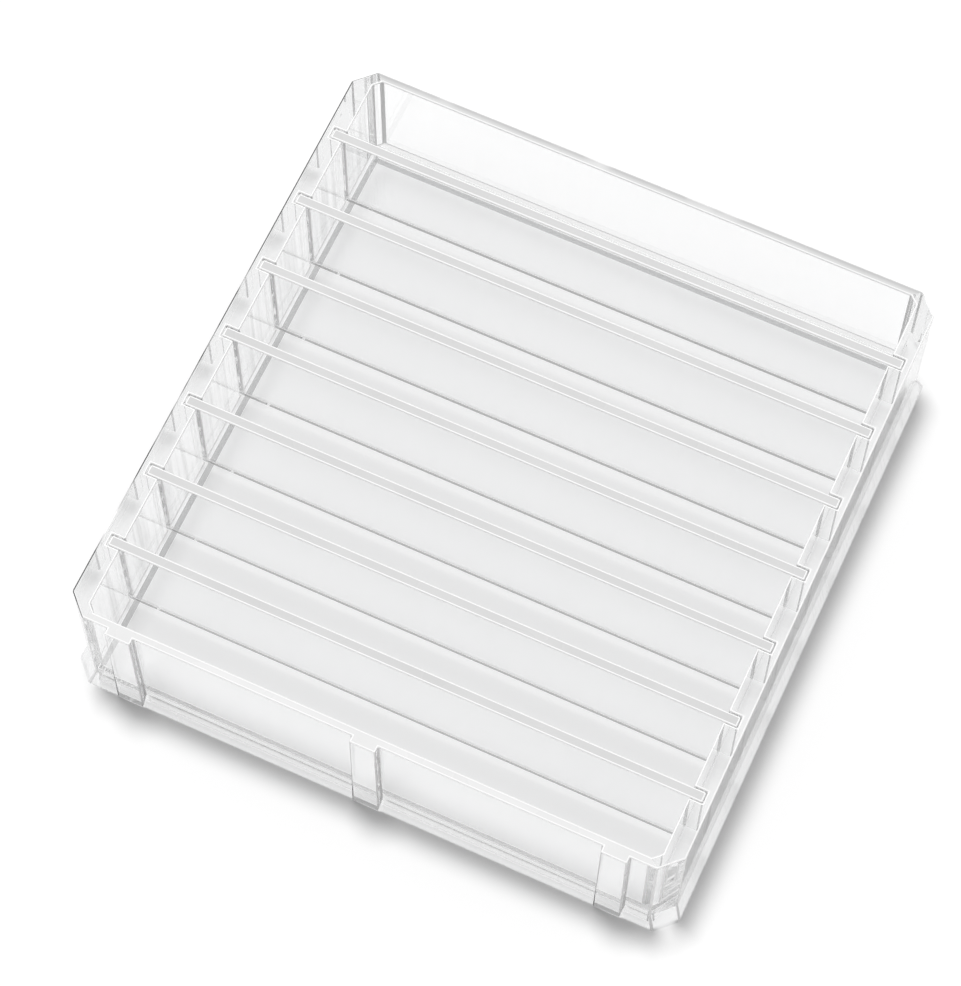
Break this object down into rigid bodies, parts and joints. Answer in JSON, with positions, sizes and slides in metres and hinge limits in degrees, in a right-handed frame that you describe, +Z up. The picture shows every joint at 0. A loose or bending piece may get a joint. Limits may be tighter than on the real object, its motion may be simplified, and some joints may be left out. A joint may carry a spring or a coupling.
{
  "type": "makeup organizer",
  "caption": "Low clear acrylic tray on a flared base, with slotted side walls and upright lift-out dividers that stand flat make-up palettes on edge.",
  "frame": {"origin": "centre of the footprint, on the surface that the tray stands on", "axes": "+X to the right along the dividers, +Y from the front with its posts to the back, +Z up"},
  "size_m": [0.2554, 0.2634, 0.066],
  "materials": {
    "tray_acrylic": "clear polished acrylic",
    "divider_acrylic": "clear polished acrylic"
  },
  "bodies": {
    "tray": {"floor_panel": "tray_acrylic", "left_side_wall": "tray_acrylic", "right_side_wall": "tray_acrylic", "front_wall": "tray_acrylic", "back_wall": "tray_acrylic", "left_base_rail": "tray_acrylic", "right_base_rail": "tray_acrylic", "front_base_rail": "tray_acrylic", "back_base_rail": "tray_acrylic", "left_front_post": "tray_acrylic", "middle_front_post": "tray_acrylic", "right_front_post": "tray_acrylic", "front_left_corner_strip": "tray_acrylic", "front_right_corner_strip": "tray_acrylic", "back_left_corner_strip": "tray_acrylic", "back_right_corner_strip": "tray_acrylic"},
    "divider_1": {"divider_1": "divider_acrylic"},
    "divider_2": {"divider_2": "divider_acrylic"},
    "divider_3": {"divider_3": "divider_acrylic"},
    "divider_4": {"divider_4": "divider_acrylic"},
    "divider_5": {"divider_5": "divider_acrylic"},
    "divider_6": {"divider_6": "divider_acrylic"},
    "divider_7": {"divider_7": "divider_acrylic"}
  },
  "joints": [
    {"name": "divider_1_lift", "type": "slide", "parent": "tray", "child": "divider_1", "axis": [0, 0, 1], "range_m": [0, 0.055]},
    {"name": "divider_2_lift", "type": "slide", "parent": "tray", "child": "divider_2", "axis": [0, 0, 1], "range_m": [0, 0.055]},
    {"name": "divider_3_lift", "type": "slide", "parent": "tray", "child": "divider_3", "axis": [0, 0, 1], "range_m": [0, 0.055]},
    {"name": "divider_4_lift", "type": "slide", "parent": "tray", "child": "divider_4", "axis": [0, 0, 1], "range_m": [0, 0.055]},
    {"name": "divider_5_lift", "type": "slide", "parent": "tray", "child": "divider_5", "axis": [0, 0, 1], "range_m": [0, 0.055]},
    {"name": "divider_6_lift", "type": "slide", "parent": "tray", "child": "divider_6", "axis": [0, 0, 1], "range_m": [0, 0.055]},
    {"name": "divider_7_lift", "type": "slide", "parent": "tray", "child": "divider_7", "axis": [0, 0, 1], "range_m": [0, 0.055]}
  ]
}
